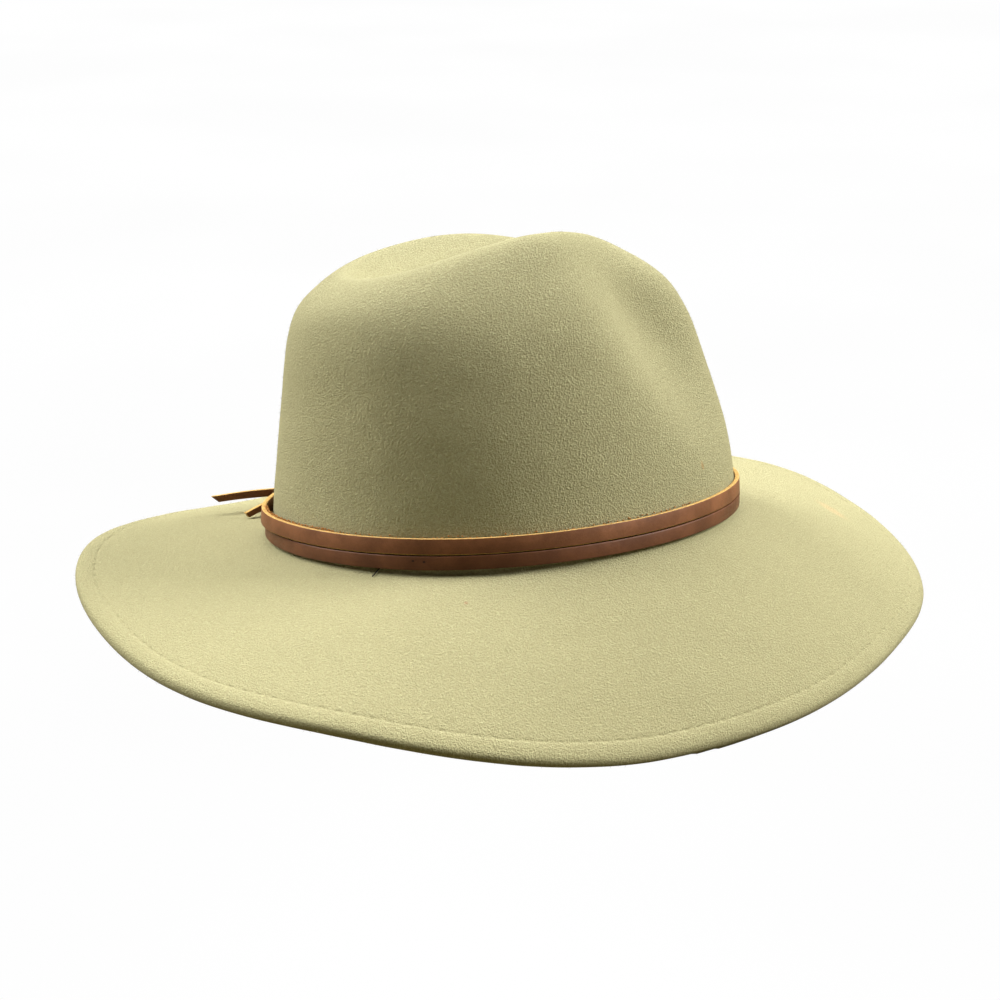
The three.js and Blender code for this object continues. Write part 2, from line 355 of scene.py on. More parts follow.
    def foot_point(self, bearing: Array, section: BrimSection, share: float) -> Array:
        """Points of the turn from the wall into the brim.

        Args:
            bearing: Bearings in radians.
            section: Sections of the brim at those bearings.
            share: Place from 0 on the wall to 1 on the brim.

        Returns:
            One point on each section.
        """
        wall = self.leaned(self.crown_point(bearing, self.foot_radius / self.foot_ring_rise))
        brim = self.brim_point(section, self.foot_radius / section.wide)
        upper = wall + (section.start - wall) * share
        lower = section.start + (brim - section.start) * share
        return upper + (lower - upper) * share


def linked(name: str, data: Any) -> bpy.types.Object:
    """Makes an object and links it to the scene.

    Args:
        name: Name of the object.
        data: Its mesh, light or camera.

    Returns:
        The object.
    """
    made = bpy.data.objects.new(name, data)
    bpy.context.scene.collection.objects.link(made)
    return made


def finish_piece(
    name: str, mesh: Mesh, material: Material | None = None, replaced: Sequence[str] = ()
) -> bpy.types.Object:
    """Links a finished mesh as a piece that rides on the hat's one body.

    Args:
        name: Name of the piece.
        mesh: Its mesh, placed in the row's frame.
        material: Its material, unless the mesh has one.
        replaced: Solids that the piece stands for.

    Returns:
        The piece.
    """
    if material is not None:
        mesh.materials.append(material)
    piece = linked(name, mesh)
    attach(piece, "root")
    if replaced:
        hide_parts(*replaced)
    return piece


def kept_mesh(mesh: bmesh.types.BMesh, name: str) -> Mesh:
    """Turns a working mesh into a mesh of the file and frees it.

    Args:
        mesh: The working mesh.
        name: Name of the new mesh.

    Returns:
        The new mesh.
    """
    data = bpy.data.meshes.new(name)
    mesh.to_mesh(data)
    mesh.free()
    return data


def mesh_from_grid(name: str, rows: Array, uv: Array | None = None, cut: Array | None = None) -> Mesh:
    """Makes a closed mesh from rows of points that each go once round.

    Args:
        name: Name of the mesh.
        rows: Points in mm, as rows by places round by three.
        uv: Places for a UV map, as rows by places round plus one by two.
        cut: How far each point lies on a cut edge, from 0 to 1.

    Returns:
        The mesh in metres, with doubled points merged and smooth shading.
    """
    count_rows, count = rows.shape[:2]
    mesh = bmesh.new()
    cut_layer = mesh.verts.layers.float.new("cut_edge")
    uv_layer = mesh.loops.layers.uv.new("hem")
    points = [mesh.verts.new(point) for point in (rows.reshape(-1, 3) * MM).tolist()]
    if cut is not None:
        for point, value in zip(points, cut.reshape(-1).tolist()):
            point[cut_layer] = value
    for r in range(count_rows - 1):
        for k in range(count):
            after = (k + 1) % count
            corners = [(r, k), (r + 1, k), (r + 1, after), (r, after)]
            face = mesh.faces.new([points[i * count + j] for i, j in corners])
            face.smooth = True
            if uv is not None:
                places = [(r, k), (r + 1, k), (r + 1, k + 1), (r, k + 1)]
                for loop, (i, j) in zip(face.loops, places):
                    loop[uv_layer].uv = uv[i, j].tolist()
    bmesh.ops.remove_doubles(mesh, verts=mesh.verts, dist=2e-6)
    bmesh.ops.dissolve_degenerate(mesh, dist=1e-7, edges=mesh.edges)
    return kept_mesh(mesh, name)


def closed_strip(
    name: str,
    form: HatForm,
    middles: Array,
    outward: Array,
    up: Array,
    thick: float,
    wide: Array,
    corner: float,
    loop: bool = True,
    cut_shown: float = 1,
) -> Mesh:
    """Sweeps a strap's flat section along a path, with rounded corners and marked cut edges.

    Args:
        name: Name of the mesh.
        form: The hat's form. What follows is in its crown's own frame.
        middles: Points of the strap's middle line, in mm.
        outward: Direction of the grain side, at each point or at all.
        up: Direction of the upper cut edge, at each point or at all.
        thick: Thickness of the strap.
        wide: Width of the strap at each point.
        corner: Radius of the section's corners.
        loop: Whether the path closes on itself.
        cut_shown: How clearly the cut edges show their bare colour, from 0 to 1.

    Returns:
        The closed mesh, in metres.
    """
    middles = form.leaned(middles)
    outward, up = (np.broadcast_to(v, middles.shape) @ form.lean.T for v in (outward, up))
    quarter = [(math.cos(a), math.sin(a)) for a in np.radians([0, 30, 60, 90])]
    rows, cut = [], []
    for turn, (sx, sy) in enumerate(((1, 1), (-1, 1), (-1, -1), (1, -1))):
        for x, y in quarter if turn % 2 == 0 else quarter[::-1]:
            out = sx * (thick / 2 - corner) + sx * x * corner
            rise = sy * (wide / 2 - corner) + sy * y * corner
            rows.append(middles + outward * out + up * rise[:, None])
            cut.append(1.0 if y > 0.8 else (0.5 if y > 0.4 else 0.0))
    grid = np.stack(rows, axis=1)
    marks = np.broadcast_to(np.array(cut) * cut_shown, grid.shape[:2])
    if loop:
        grid, marks = np.concatenate([grid, grid[:1]]), np.concatenate([marks, marks[:1]])
    else:
        tips = [np.repeat(grid[i].mean(axis=0)[None, None], grid.shape[1], axis=1) for i in (0, -1)]
        cap = np.ones_like(marks[:1])
        grid, marks = np.concatenate([tips[0], grid, tips[1]]), np.concatenate([cap, marks, cap])
    return mesh_from_grid(name, grid[:, ::-1], cut=marks[:, ::-1])


def smooth_noise(points: Array, size: float, seed: float) -> Array:
    """Smooth random values from -1 to 1 at points in mm, with bumps of about the given size."""
    flat = points.reshape(-1, 3) / size + seed
    return np.array([noise.noise(Vector(p)) for p in flat.tolist()]).reshape(points.shape[:-1])


class NodeSketch:
    """Adds nodes to a tree and joins them in one call each."""

    def __init__(self, tree: Tree) -> None:
        """Keeps the tree to draw in."""
        self.tree = tree

    def feed(self, node: Node, inputs: dict[str | int, Any]) -> None:
        """Gives a node its values and links.

        Args:
            node: The node.
            inputs: Values or sockets, by name or number of the input.
        """
        for key, value in inputs.items():
            if isinstance(value, Socket):
                self.tree.links.new(value, node.inputs[key])
            else:
                node.inputs[key].default_value = value

    def add(self, kind: str, inputs: dict[str | int, Any] | None = None, **settings: Any) -> Node:
        """Adds one node.

        Args:
            kind: The node's type name.
            inputs: Values or sockets for its inputs, by name or number.
            **settings: The node's own settings.

        Returns:
            The new node.
        """
        node = self.tree.nodes.new(kind)
        for key, value in settings.items():
            setattr(node, key, value)
        self.feed(node, inputs or {})
        return node

    def math(self, operation: str, *values: Any, clamp: bool = False) -> Socket:
        """Adds a Math node and returns its output."""
        inputs = dict(enumerate(values))
        return self.add("ShaderNodeMath", inputs, operation=operation, use_clamp=clamp).outputs[0]

    def scaled(self, value: Any, share: Any, added: Any = 0.0, clamp: bool = False) -> Socket:
        """Gives a value times a share, plus what is added."""
        return self.math("MULTIPLY_ADD", value, share, added, clamp=clamp)

    def off_half(self, value: Any) -> Socket:
        """Gives how far a value lies from one half."""
        return self.math("ABSOLUTE", self.math("SUBTRACT", value, 0.5))

    def vector(self, operation: str, *values: Any) -> Socket:
        """Adds a Vector Math node and returns its vector."""
        return self.add("ShaderNodeVectorMath", dict(enumerate(values)), operation=operation).outputs[0]

    def mix(self, share: Any, first: Any, second: Any) -> Socket:
        """Mixes two colours by a share and returns the result."""
        colours = {6: widened(first), 7: widened(second), 0: share}
        return self.add("ShaderNodeMix", colours, data_type="RGBA").outputs[2]

    def blend(self, share: Any, first: Any, second: Any) -> Socket:
        """Mixes two numbers by a share and returns the result."""
        return self.add("ShaderNodeMix", {0: share, 2: first, 3: second}, data_type="FLOAT").outputs[0]

    def span(self, value: Any, low: float, high: float, start: float = 0, end: float = 1) -> Socket:
        """Maps a value smoothly from one range to another and returns it."""
        inputs = {"Value": value, "From Min": low, "From Max": high, "To Min": start, "To Max": end}
        return self.add("ShaderNodeMapRange", inputs, interpolation_type="SMOOTHSTEP").outputs[0]

    def noise(self, place: Any, scale: Any, detail: float = 2, roughness: float = 0.5) -> Socket:
        """Adds a Noise texture and returns its value."""
        inputs = {"Vector": place, "Scale": scale, "Detail": detail, "Roughness": roughness}
        return self.add("ShaderNodeTexNoise", inputs).outputs["Fac"]


def widened(value: Any) -> Any:
    """A colour of three numbers with its alpha added, and anything else as it is."""
    return (*value, 1.0) if isinstance(value, tuple) and len(value) == 3 else value


SOCKET_TYPES = {
    int: "NodeSocketInt",
    float: "NodeSocketFloat",
    tuple: "NodeSocketVector",
    type(None): "NodeSocketGeometry",
}


def new_group(name: str, kind: str, inputs: dict[str, Any], outputs: Sequence[str]) -> tuple:
    """Makes an empty node group with named sockets.

    Args:
        name: Name of the group.
        kind: Type of node tree.
        inputs: First value by name, which sets the socket's type. None is a geometry.
        outputs: Names of the outputs, numbers except for Geometry.

    Returns:
        The tree, its sketch, its input node, its output node and its input sockets' identifiers.
    """
    tree = bpy.data.node_groups.new(name, kind)
    identifiers = {}
    for label, value in inputs.items():
        item = tree.interface.new_socket(name=label, in_out="INPUT", socket_type=SOCKET_TYPES[type(value)])
        if value is not None:
            item.default_value = value
        identifiers[label] = item.identifier
    for label in outputs:
        socket = SOCKET_TYPES[type(None) if label == "Geometry" else float]
        tree.interface.new_socket(name=label, in_out="OUTPUT", socket_type=socket)
    sketch = NodeSketch(tree)
    return tree, sketch, sketch.add("NodeGroupInput"), sketch.add("NodeGroupOutput"), identifiers


@dataclass(frozen=True)
class Grain:
    """Values of the grain group for one finish: size, share of clumps and warp in metres."""

    scale: float
    clump: float
    warp: float


@dataclass(frozen=True)
class Spot:
    """A small mark on a surface: where it is, how far it reaches, its colour and strength."""

    centre: Triple
    reach: Triple
    colour: Triple
    strength: float = 1.0
    ragged: float = 0.5


def grain_group() -> Tree:
    """Builds the group for fine surface grain: a clumped, warped noise with its own height.

    Returns:
        The group, which also gives the mask of curled strands.
    """
    inputs = {"Vector": (0.0, 0.0, 0.0), "Scale": 700.0, "Clump": 0.35, "Warp": 0.002}
    tree, sketch, source, sink, _ = new_group(
        "fine_grain", "ShaderNodeTree", inputs, ("Mask", "Height", "Strand")
    )
    scale = source.outputs["Scale"]
    off_axis = {"Vector": source.outputs["Vector"], "Rotation": (0.62, 0.41, 1.13)}
    place = sketch.add("ShaderNodeVectorRotate", off_axis, rotation_type="EULER_XYZ").outputs[0]
    bend = {"Vector": place, "Scale": sketch.scaled(scale, 0.45), "Detail": 1.0}
    bent = sketch.add("ShaderNodeTexNoise", bend).outputs["Color"]
    centred = sketch.vector("SUBTRACT", bent, (0.5, 0.5, 0.5))
    warped = sketch.vector("ADD", place, sketch.vector("MULTIPLY", centred, source.outputs["Warp"]))
    fine = sketch.noise(warped, scale, 3, 0.6)
    coarse = sketch.noise(place, sketch.scaled(scale, 0.3), 2, 0.5)
    mixed = sketch.blend(source.outputs["Clump"], fine, coarse)
    mask = sketch.span(mixed, 0.33, 0.67)
    curl = sketch.noise(warped, sketch.scaled(scale, 0.55), 1, 0.5)
    strand = sketch.scaled(sketch.span(sketch.off_half(curl), 0.06, 0), mask)
    sketch.feed(sink, {"Mask": mask, "Height": mixed, "Strand": strand})
    return tree


def spot_group() -> Tree:
    """Builds the group for a small uneven spot: a mask round a centre, stretched along an axis.

    Returns:
        The group.
    """
    middle, reach = (0.0, 0.0, 0.0), (0.002, 0.002, 0.002)
    inputs = {"Vector": middle, "Centre": middle, "Reach": reach, "Ragged": 0.5}
    tree, sketch, source, sink, _ = new_group("uneven_spot", "ShaderNodeTree", inputs, ("Mask",))
    place = source.outputs["Vector"]
    away = sketch.vector("SUBTRACT", place, source.outputs["Centre"])
    scaled = sketch.vector("DIVIDE", away, source.outputs["Reach"])
    far = sketch.add("ShaderNodeVectorMath", {0: scaled}, operation="LENGTH").outputs["Value"]
    rag = sketch.math("SUBTRACT", sketch.noise(place, 900, 2, 0.6), 0.5)
    edge = sketch.scaled(rag, source.outputs["Ragged"], far)
    sketch.feed(sink, {"Mask": sketch.span(edge, 1.1, 0.45)})
    return tree


@dataclass(frozen=True)
class ShaderGroups:
    """The node groups that the finishes share."""

    grain: Tree
    spot: Tree

    def grained(self, sketch: NodeSketch, place: Socket, grain: Grain) -> bpy.types.NodeOutputs:
        """Places the grain group with a finish's own values.

        Args:
            sketch: Sketch of the material.
            place: The object coordinates.
            grain: The values.

        Returns:
            The group's outputs.
        """
        inputs = {"Vector": place, "Scale": grain.scale, "Clump": grain.clump, "Warp": grain.warp}
        return sketch.add("ShaderNodeGroup", inputs, node_tree=self.grain).outputs

    def marked(self, sketch: NodeSketch, place: Socket, colour: Socket, marks: Sequence[Spot]) -> Socket:
        """Lays small marks over a colour.

        Args:
            sketch: Sketch of the material.
            place: The object coordinates.
            colour: The colour under the marks.
            marks: The marks.

        Returns:
            The marked colour.
        """
        for mark in marks:
            inputs = {"Vector": place, "Centre": mark.centre, "Reach": mark.reach, "Ragged": mark.ragged}
            mask = sketch.add("ShaderNodeGroup", inputs, node_tree=self.spot).outputs["Mask"]
            colour = sketch.mix(sketch.scaled(mask, mark.strength), colour, mark.colour)
        return colour


def new_material(name: str) -> tuple[Material, NodeSketch, Node, Socket]:
    """Makes an empty material.

    Args:
        name: Name of the material.

    Returns:
        The material, its sketch, its Principled shader and the object coordinates.
    """
    material = bpy.data.materials.new(name)
    material.use_nodes = True
    material.node_tree.nodes.clear()
    sketch = NodeSketch(material.node_tree)
    shader = sketch.add("ShaderNodeBsdfPrincipled")
    sketch.add("ShaderNodeOutputMaterial", {"Surface": shader.outputs[0]})
    return material, sketch, shader, sketch.add("ShaderNodeTexCoord").outputs["Object"]


@dataclass(frozen=True)
class FeltFinish:
    """Pale wool felt with a short nap, a few old marks and dimples along the hem's stitches,
    with painted shade in the dimples.

    The nap is calmer on the brim than on the crown, and the brim's felt is painted darker there as painted
    shade.
    One share does both: it rises from its brim value to 1 between the heights calm_below and
    full_above, in metres.
    """

    name: str = "pale_wool_felt"
    light: Triple = (0.415, 0.389, 0.208)
    shade: Triple = (0.28, 0.253, 0.122)
    strand: Triple = (0.54, 0.51, 0.28)
    # Colour of the painted shade in the dimples over the hem's stitches.
    dimple_shade: Triple = (0.27, 0.245, 0.12)
    nap: Grain = Grain(scale=1150.0, clump=0.15, warp=0.0009)
    wisps: Grain = Grain(scale=2300.0, clump=0.1, warp=0.0004)
    even_light: float = 0.12
    broad_light: float = 0.1
    nap_light: float = 0.42
    wisp_light: float = 0.28
    strand_light: float = 0.45
    wisp_strand: float = 0.7
    # Brim value of the nap's strength, which also paints shade on the brim's colour.
    brim_nap_and_shade: float = 0.62
    calm_below: float = 0.042
    full_above: float = 0.07
    dimple_shade_shown: float = 0.08
    dimple_long: tuple[float, float] = (0.24, 0.14)
    dimple_wide: tuple[float, float] = (0.0045, 0.0015)
    wisp_height: float = 0.4
    dimple_height: float = -0.3
    strand_height: float = 0.25
    least_bump: float = 0.0003
    nap_bump: float = 0.0007
    marks: tuple[Spot, ...] = (
        Spot((-0.0601, -0.0555, 0.0714), (0.0013, 0.0013, 0.0026), (0.42, 0.24, 0.07), 0.6, 0.7),
        Spot((-0.007, -0.1575, 0.0172), (0.013, 0.004, 0.008), (0.5, 0.33, 0.16), 0.4, 1.2),
        Spot((0.1044, 0.1284, 0.0205), (0.0012, 0.0012, 0.0012), (0.2, 0.12, 0.06), 0.6, 0.6),
        Spot((-0.0935, 0.0645, 0.0462), (0.001, 0.001, 0.001), (0.3, 0.16, 0.08), 0.6, 0.6),
    )

    def sunk(self, sketch: NodeSketch) -> Socket:
        """Masks the dimples over the hem's stitches, from the felt's own UV map. The mask shapes their bump
        and their painted shade.

        Args:
            sketch: Sketch of the material.

        Returns:
            The mask.
        """
        hem = sketch.add("ShaderNodeUVMap", uv_map="hem").outputs[0]
        split = sketch.add("ShaderNodeSeparateXYZ", {0: hem}).outputs
        phase = sketch.span(sketch.off_half(sketch.math("FRACT", split[0])), *self.dimple_long)
        return sketch.scaled(phase, sketch.span(sketch.off_half(split[1]), *self.dimple_wide))

    def build(self, groups: ShaderGroups) -> Material:
        """Builds the material.

        Args:
            groups: The shared node groups.

        Returns:
            The felt's material.
        """
        material, sketch, shader, place = new_material(self.name)
        nap, wisps = (groups.grained(sketch, place, grain) for grain in (self.nap, self.wisps))
        broad = sketch.span(sketch.noise(place, 22, 3, 0.55), 0.25, 0.75)
        mottle = sketch.scaled(broad, self.broad_light, self.even_light)
        mottle = sketch.scaled(nap["Mask"], self.nap_light, mottle)
        mottle = sketch.scaled(wisps["Mask"], self.wisp_light, mottle, clamp=True)
        height = sketch.add("ShaderNodeSeparateXYZ", {0: place}).outputs[2]
        # Lower on the brim: a calmer nap, and mottle scaled down so the brim leans to the shade colour, a
        # painted shade.
        nap_and_brim_shade = sketch.span(height, self.calm_below, self.full_above, self.brim_nap_and_shade, 1)
        colour = sketch.mix(sketch.scaled(mottle, nap_and_brim_shade), self.shade, self.light)
        strand = sketch.math("MAXIMUM", nap["Strand"], sketch.scaled(wisps["Strand"], self.wisp_strand))
        shown = sketch.scaled(sketch.scaled(strand, self.strand_light), nap_and_brim_shade)
        colour = groups.marked(sketch, place, sketch.mix(shown, colour, self.strand), self.marks)
        sunk = self.sunk(sketch)
        relief = sketch.scaled(wisps["Height"], self.wisp_height, nap["Height"])
        relief = sketch.scaled(sunk, self.dimple_height, relief)
        relief = sketch.scaled(strand, self.strand_height, relief)
        deep = sketch.scaled(nap_and_brim_shade, self.nap_bump, self.least_bump)
        bump = sketch.add("ShaderNodeBump", {"Height": relief, "Strength": 1.0, "Distance": deep})
        look = {
            # Painted shade: the felt darkens towards the dimple colour over the stitch dimples.
            "Base Color": sketch.mix(sketch.scaled(sunk, self.dimple_shade_shown), colour, self.dimple_shade),
            "Normal": bump.outputs[0],
            "Roughness": 0.95,
            "Specular IOR Level": 0.15,
            "Sheen Weight": 0.1,
            "Sheen Roughness": 0.6,
            "Sheen Tint": (1.0, 0.98, 0.84, 1.0),
        }
        sketch.feed(shader, look)
        return material


@dataclass(frozen=True)
class LeatherFinish:
    """Brown strap leather, waxed on its grain side and golden tan where it is cut."""

    name: str = "brown_strap_leather"
    grain_dark: Triple = (0.12, 0.045, 0.017)
    grain_light: Triple = (0.24, 0.096, 0.04)
    cut_dark: Triple = (0.38, 0.215, 0.06)
    cut_light: Triple = (0.64, 0.41, 0.13)
    pores: Grain = Grain(scale=1900.0, clump=0.2, warp=0.0006)
    fibres: Grain = Grain(scale=1300.0, clump=0.3, warp=0.001)
    pore_light: float = 0.3
    cloud_light: float = 0.6
    edge_wear: float = 0.5
    cut_rough: float = 0.85
    marks: tuple[Spot, ...] = (
        # The first two marks are small punctures painted near-black: painted shade in holes that have no
        # depth.
        Spot((-0.0682, 0.0752, 0.0555), (0.0007, 0.0007, 0.0005), (0.02, 0.008, 0.004), 1.0, 0.5),
        Spot((-0.0709, 0.0718, 0.0555), (0.0007, 0.0007, 0.0005), (0.02, 0.008, 0.004), 1.0, 0.5),
        Spot((-0.0475, -0.081, 0.0451), (0.0012, 0.0012, 0.0009), (0.3, 0.16, 0.08), 0.7, 0.5),
    )

    def build(self, groups: ShaderGroups) -> Material:
        """Builds the material.

        Args:
            groups: The shared node groups.

        Returns:
            The leather's material.
        """
        material, sketch, shader, place = new_material(self.name)
        pores, fibres = (groups.grained(sketch, place, grain) for grain in (self.pores, self.fibres))
        cloud = sketch.span(sketch.noise(place, 75, 3, 0.6), 0.3, 0.72)
        worn = sketch.scaled(pores["Mask"], self.pore_light, sketch.scaled(cloud, self.cloud_light))
        grain_side = sketch.mix(worn, self.grain_dark, self.grain_light)
        cut_side = sketch.mix(fibres["Mask"], self.cut_dark, self.cut_light)
        cut = sketch.add("ShaderNodeAttribute", attribute_name="cut_edge").outputs["Fac"]
        wear = sketch.noise(place, 700, 2, 0.6)
        edge = sketch.scaled(wear, self.edge_wear, sketch.math("SUBTRACT", cut, self.edge_wear / 2))
        share = sketch.span(edge, 0.35, 0.7)
        gloss = sketch.span(pores["Mask"], 0, 1, 0.42, 0.56)
        relief = sketch.scaled(pores["Height"], 0.5, sketch.scaled(cloud, 0.3))
        bump = sketch.add("ShaderNodeBump", {"Height": relief, "Strength": 0.5, "Distance": 0.0004})
        colour = groups.marked(sketch, place, sketch.mix(share, grain_side, cut_side), self.marks)
        look = {
            "Base Color": colour,
            "Roughness": sketch.blend(share, gloss, self.cut_rough),
            "Normal": bump.outputs[0],
            "Specular IOR Level": 0.22,
        }
        sketch.feed(shader, look)
        return material


@dataclass(frozen=True)
class ThreadFinish:
    """Matte sewing thread or loose fibre in one tone, with a fine twist."""

    name: str
    dark: Triple
    light: Triple
    twist: Grain = Grain(scale=2600.0, clump=0.2, warp=0.0004)

    def build(self, groups: ShaderGroups) -> Material:
        """Builds the material.

        Args:
            groups: The shared node groups.

        Returns:
            The thread's material.
        """
        material, sketch, shader, place = new_material(self.name)
        colour = sketch.mix(groups.grained(sketch, place, self.twist)["Mask"], self.dark, self.light)
        sketch.feed(shader, {"Base Color": colour, "Roughness": 0.9, "Specular IOR Level": 0.15})
        return material


def path_mesh(name: str, points: Array, loop: bool) -> Mesh:
    """Makes a mesh of edges only.

    Args:
        name: Name of the mesh.
        points: Points of the path, in mm.
        loop: Whether the path closes on itself.

    Returns:
        The mesh, in metres.
    """
    count = len(points)
    edges = [(i, (i + 1) % count) for i in range(count if loop else count - 1)]
    mesh = bpy.data.meshes.new(name)
    mesh.from_pydata((points * MM).tolist(), edges, [])
    return mesh


class Growth:
    """A geometry node tree that sets copies of one small shape on a path or a surface."""

    def __init__(self, name: str, values: dict[str, Any]) -> None:
        """Starts the tree.

        Args:
            name: Name of the tree.
            values: Its named inputs, with the values to run it with.
        """
        inputs = {"Geometry": None, **values}
        made = new_group(name, "GeometryNodeTree", inputs, ("Geometry",))
        self.tree, self.sketch, source, self.sink, self.names = made
        self.inputs, self.values = source.outputs, values

    def spaced(self) -> Socket:
        """Points spaced evenly along the path, as many as the Count input says."""
        curve = self.sketch.add("GeometryNodeMeshToCurve", {"Mesh": self.inputs["Geometry"]}).outputs[0]
        inputs = {"Curve": curve, "Count": self.inputs["Count"]}
        return self.sketch.add("GeometryNodeResampleCurve", inputs, mode="COUNT").outputs[0]

    def drawn(self, low: Any, high: Any) -> Socket:
        """Random numbers between two, by the Seed input."""
        inputs = {2: low, 3: high, "Seed": self.inputs["Seed"]}
        return self.sketch.add("FunctionNodeRandomValue", inputs, data_type="FLOAT").outputs[1]

    def drawn_vector(self, low: Any, high: Any) -> Socket:
        """Random vectors between two, by the Seed input."""
        inputs = {0: low, 1: high, "Seed": self.inputs["Seed"]}
        return self.sketch.add("FunctionNodeRandomValue", inputs, data_type="FLOAT_VECTOR").outputs[0]

    def either_way(self, *reach: Any) -> Socket:
        """Random vectors that go up to a reach either way along each axis."""
        most = self.sketch.add("ShaderNodeCombineXYZ", dict(enumerate(reach))).outputs[0]
        return self.drawn_vector(self.sketch.vector("MULTIPLY", most, (-1.0, -1.0, -1.0)), most)

    def turning(self, angles: Socket) -> Socket:
        """Rotations from three angles each."""
        return self.sketch.add("FunctionNodeEulerToRotation", {0: angles}).outputs[0]

    def run(
        self,
        name: str,
        host: Mesh,
        points: Socket,
        shape: Node,
        turn: Socket,
        scale: Socket,
        material: Material,
    ) -> Mesh:
        """Ends the tree, runs it on a mesh and keeps what comes out as a plain mesh.

        Args:
            name: Name of the new mesh.
            host: Mesh that the tree starts from.
            points: Where the copies stand.
            shape: Node that makes the small shape.
            turn: The copies' rotations.
            scale: The copies' sizes.
            material: The copies' material.

        Returns:
            The plain mesh.
        """
        inputs = {"Points": points, "Instance": shape.outputs["Mesh"], "Rotation": turn, "Scale": scale}
        placed = self.sketch.add("GeometryNodeInstanceOnPoints", inputs).outputs[0]
        real = self.sketch.add("GeometryNodeRealizeInstances", {0: placed}).outputs[0]
        dressed = self.sketch.add("GeometryNodeSetMaterial", {"Geometry": real, "Material": material})
        self.sketch.feed(self.sink, {0: dressed.outputs[0]})
        carrier = linked(name + "_carrier", host)
        modifier = carrier.modifiers.new("grow", "NODES")
        modifier.node_group = self.tree
        for label, value in self.values.items():
            modifier[self.names[label]] = value
        mesh = bpy.data.meshes.new_from_object(carrier.evaluated_get(bpy.context.evaluated_depsgraph_get()))
        mesh.name = name
        carrier.modifiers.clear()
        bpy.data.objects.remove(carrier)
        return mesh


@dataclass(frozen=True)
class StitchRow:
    """Short sunken stitches along a path, sizes in mm."""

    count: int = 174
    length: float = 1.9
    radius: float = 0.13

    def build(self, path: Array, material: Material) -> Mesh:
        """Sews the row.

        Args:
            path: Points of a closed path, in mm.
            material: The thread.

        Returns:
            The stitches' mesh.
        """
        sizes = {"Count": self.count, "Length": self.length * MM, "Radius": self.radius * MM}
        growth = Growth("stitch_row", sizes)
        sketch, radius = growth.sketch, growth.inputs["Radius"]
        tangent = sketch.add("GeometryNodeInputTangent").outputs[0]
        turn = sketch.add("FunctionNodeAlignRotationToVector", {"Vector": tangent}, axis="Z").outputs[0]
        bead = sketch.add("GeometryNodeMeshUVSphere", {"Segments": 6, "Rings": 5, "Radius": 1.0})
        half = sketch.scaled(growth.inputs["Length"], 0.5)
        size = sketch.add("ShaderNodeCombineXYZ", {0: radius, 1: radius, 2: half}).outputs[0]
        host = path_mesh("stitch_path", path, True)
        return growth.run("hem_stitches", host, growth.spaced(), bead, turn, size, material)


@dataclass(frozen=True)
class FibreNap:
    """Loose wool fibres that stand off the felt, sizes in mm."""

    per_square_metre: float = 108000.0
    length: float = 1.1
    radius: float = 0.035
    tilt: float = 1.15
    spin: float = 3.1
    shortest: float = 0.5
    longest: float = 1.4
    seed: int = 7

    def build(self, felt: Mesh, material: Material) -> Mesh:
        """Grows the fibres.

        Args:
            felt: The felt's mesh.
            material: The wool.

        Returns:
            The fibres' mesh.
        """
        values = {
            "Density": self.per_square_metre,
            "Length": self.length * MM,
            "Radius": self.radius * MM,
            "Tilt": self.tilt,
            "Seed": self.seed,
        }
        growth = Growth("fibre_nap", values)
        sketch, inputs = growth.sketch, growth.inputs
        spread = {"Mesh": inputs["Geometry"], "Density": inputs["Density"], "Seed": inputs["Seed"]}
        strewn = sketch.add("GeometryNodeDistributePointsOnFaces", spread, distribute_method="RANDOM").outputs
        swung = growth.turning(growth.either_way(inputs["Tilt"], inputs["Tilt"], self.spin))
        rotations = {"Rotation": strewn["Rotation"], "Rotate By": swung}
        turn = sketch.add("FunctionNodeRotateRotation", rotations, rotation_space="LOCAL").outputs[0]
        cone = {"Vertices": 3, "Radius Top": 0.0, "Radius Bottom": inputs["Radius"]}
        cone["Depth"] = inputs["Length"]
        fibre = sketch.add("GeometryNodeMeshCone", cone, fill_type="TRIANGLE_FAN")
        stretch = growth.drawn(self.shortest, self.longest)
        return growth.run("felt_fibres", felt.copy(), strewn["Points"], fibre, turn, stretch, material)


@dataclass(frozen=True)
class CrumbRow:
    """Crumbs of leather and felt caught along the strap's inner edge, sizes in mm."""

    small: float = 0.12
    large: float = 0.42
    scatter: float = 0.45
    seed: int = 11

    def build(self, name: str, path: Array, count: int, material: Material) -> Mesh:
        """Strews crumbs.

        Args:
            name: Name of the mesh.
            path: Points of an open path, in mm.
            count: How many crumbs.
            material: The crumbs' material.

        Returns:
            The crumbs' mesh.
        """
        values = {
            "Count": count,
            "Small": self.small * MM,
            "Large": self.large * MM,
            "Scatter": self.scatter * MM,
            "Seed": self.seed,
        }
        growth = Growth("crumb_row", values)
        sketch, inputs = growth.sketch, growth.inputs
        stray = {"Geometry": growth.spaced(), "Offset": growth.either_way(*[inputs["Scatter"]] * 3)}
        points = sketch.add("GeometryNodeSetPosition", stray).outputs[0]
        crumb = sketch.add("GeometryNodeMeshIcoSphere", {"Radius": 1.0, "Subdivisions": 1})
        turn = growth.turning(growth.drawn_vector((0.0, 0.0, 0.0), (6.0, 6.0, 6.0)))
        size = growth.drawn(inputs["Small"], inputs["Large"])
        return growth.run(name, path_mesh(name + "_path", path, False), points, crumb, turn, size, material)


